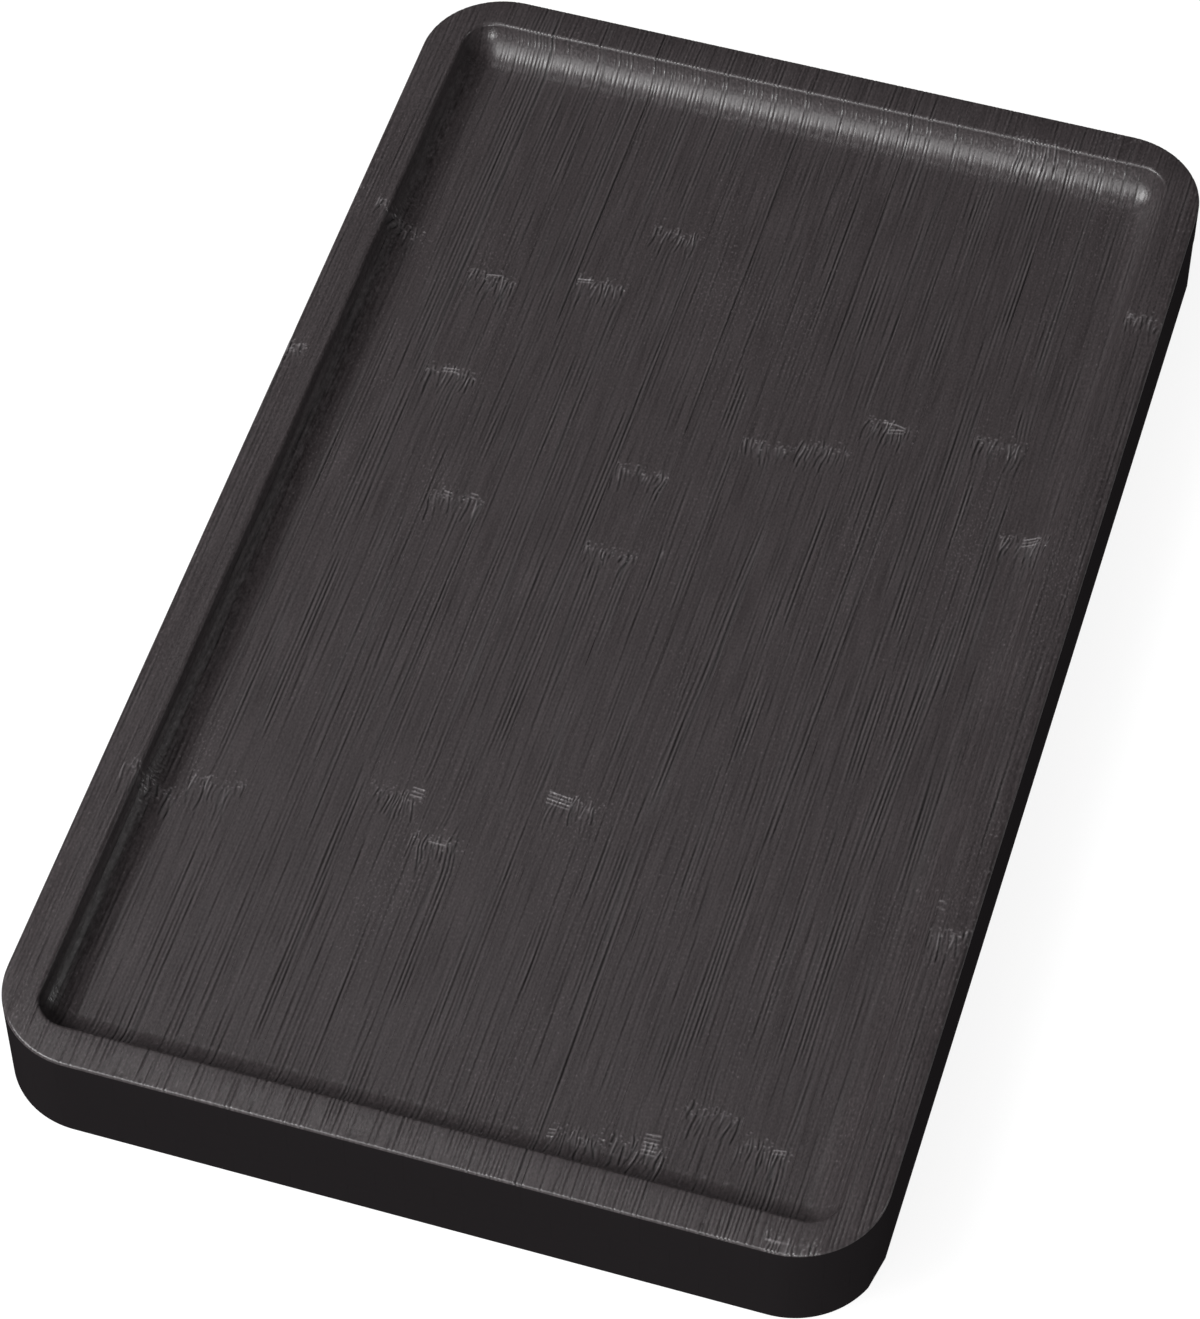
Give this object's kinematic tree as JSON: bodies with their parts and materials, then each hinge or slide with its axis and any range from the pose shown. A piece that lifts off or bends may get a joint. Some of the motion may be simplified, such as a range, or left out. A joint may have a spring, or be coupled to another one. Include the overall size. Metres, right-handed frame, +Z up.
{
  "type": "serving tray",
  "caption": "Dark-stained bamboo serving tray with a nearly flat rim, round corners and one shallow well with a cove all round, glued up from lengthwise strips in layers.",
  "frame": {"origin": "centre of the underside, on the surface that the tray stands on", "axes": "+Z up out of the well, +Y along the tray away from the viewer, +X to the right"},
  "size_m": [0.241, 0.4, 0.0326],
  "materials": {
    "stained_bamboo": "dark brown-black stain under a thin satin lacquer, with the fibre lines and node marks showing",
    "stained_bamboo_side": "dark brown-black stain and satin lacquer, sanded smooth, with no grain showing"
  },
  "bodies": {
    "root": {"upper_strip_01": "stained_bamboo", "upper_strip_02": "stained_bamboo", "upper_strip_03": "stained_bamboo", "upper_strip_04": "stained_bamboo", "upper_strip_05": "stained_bamboo", "upper_strip_06": "stained_bamboo", "upper_strip_07": "stained_bamboo", "upper_strip_08": "stained_bamboo", "upper_strip_09": "stained_bamboo", "upper_strip_10": "stained_bamboo", "upper_strip_11": "stained_bamboo", "upper_strip_12": "stained_bamboo", "upper_strip_13": "stained_bamboo", "upper_strip_14": "stained_bamboo", "upper_strip_15": "stained_bamboo", "upper_strip_16": "stained_bamboo", "core_strip_01": "stained_bamboo_side", "core_strip_02": "stained_bamboo_side", "core_strip_03": "stained_bamboo_side", "core_strip_04": "stained_bamboo_side", "core_strip_05": "stained_bamboo_side", "core_strip_06": "stained_bamboo_side", "core_strip_07": "stained_bamboo_side", "core_strip_08": "stained_bamboo_side", "core_strip_09": "stained_bamboo_side", "core_strip_10": "stained_bamboo_side", "core_strip_11": "stained_bamboo_side", "core_strip_12": "stained_bamboo_side", "core_strip_13": "stained_bamboo_side", "core_strip_14": "stained_bamboo_side", "core_strip_15": "stained_bamboo_side", "core_strip_16": "stained_bamboo_side", "base_strip_01": "stained_bamboo_side", "base_strip_02": "stained_bamboo_side", "base_strip_03": "stained_bamboo_side", "base_strip_04": "stained_bamboo_side", "base_strip_05": "stained_bamboo_side", "base_strip_06": "stained_bamboo_side", "base_strip_07": "stained_bamboo_side", "base_strip_08": "stained_bamboo_side", "base_strip_09": "stained_bamboo_side", "base_strip_10": "stained_bamboo_side", "base_strip_11": "stained_bamboo_side", "base_strip_12": "stained_bamboo_side", "base_strip_13": "stained_bamboo_side", "base_strip_14": "stained_bamboo_side", "base_strip_15": "stained_bamboo_side", "base_strip_16": "stained_bamboo_side"}
  },
  "joints": []
}
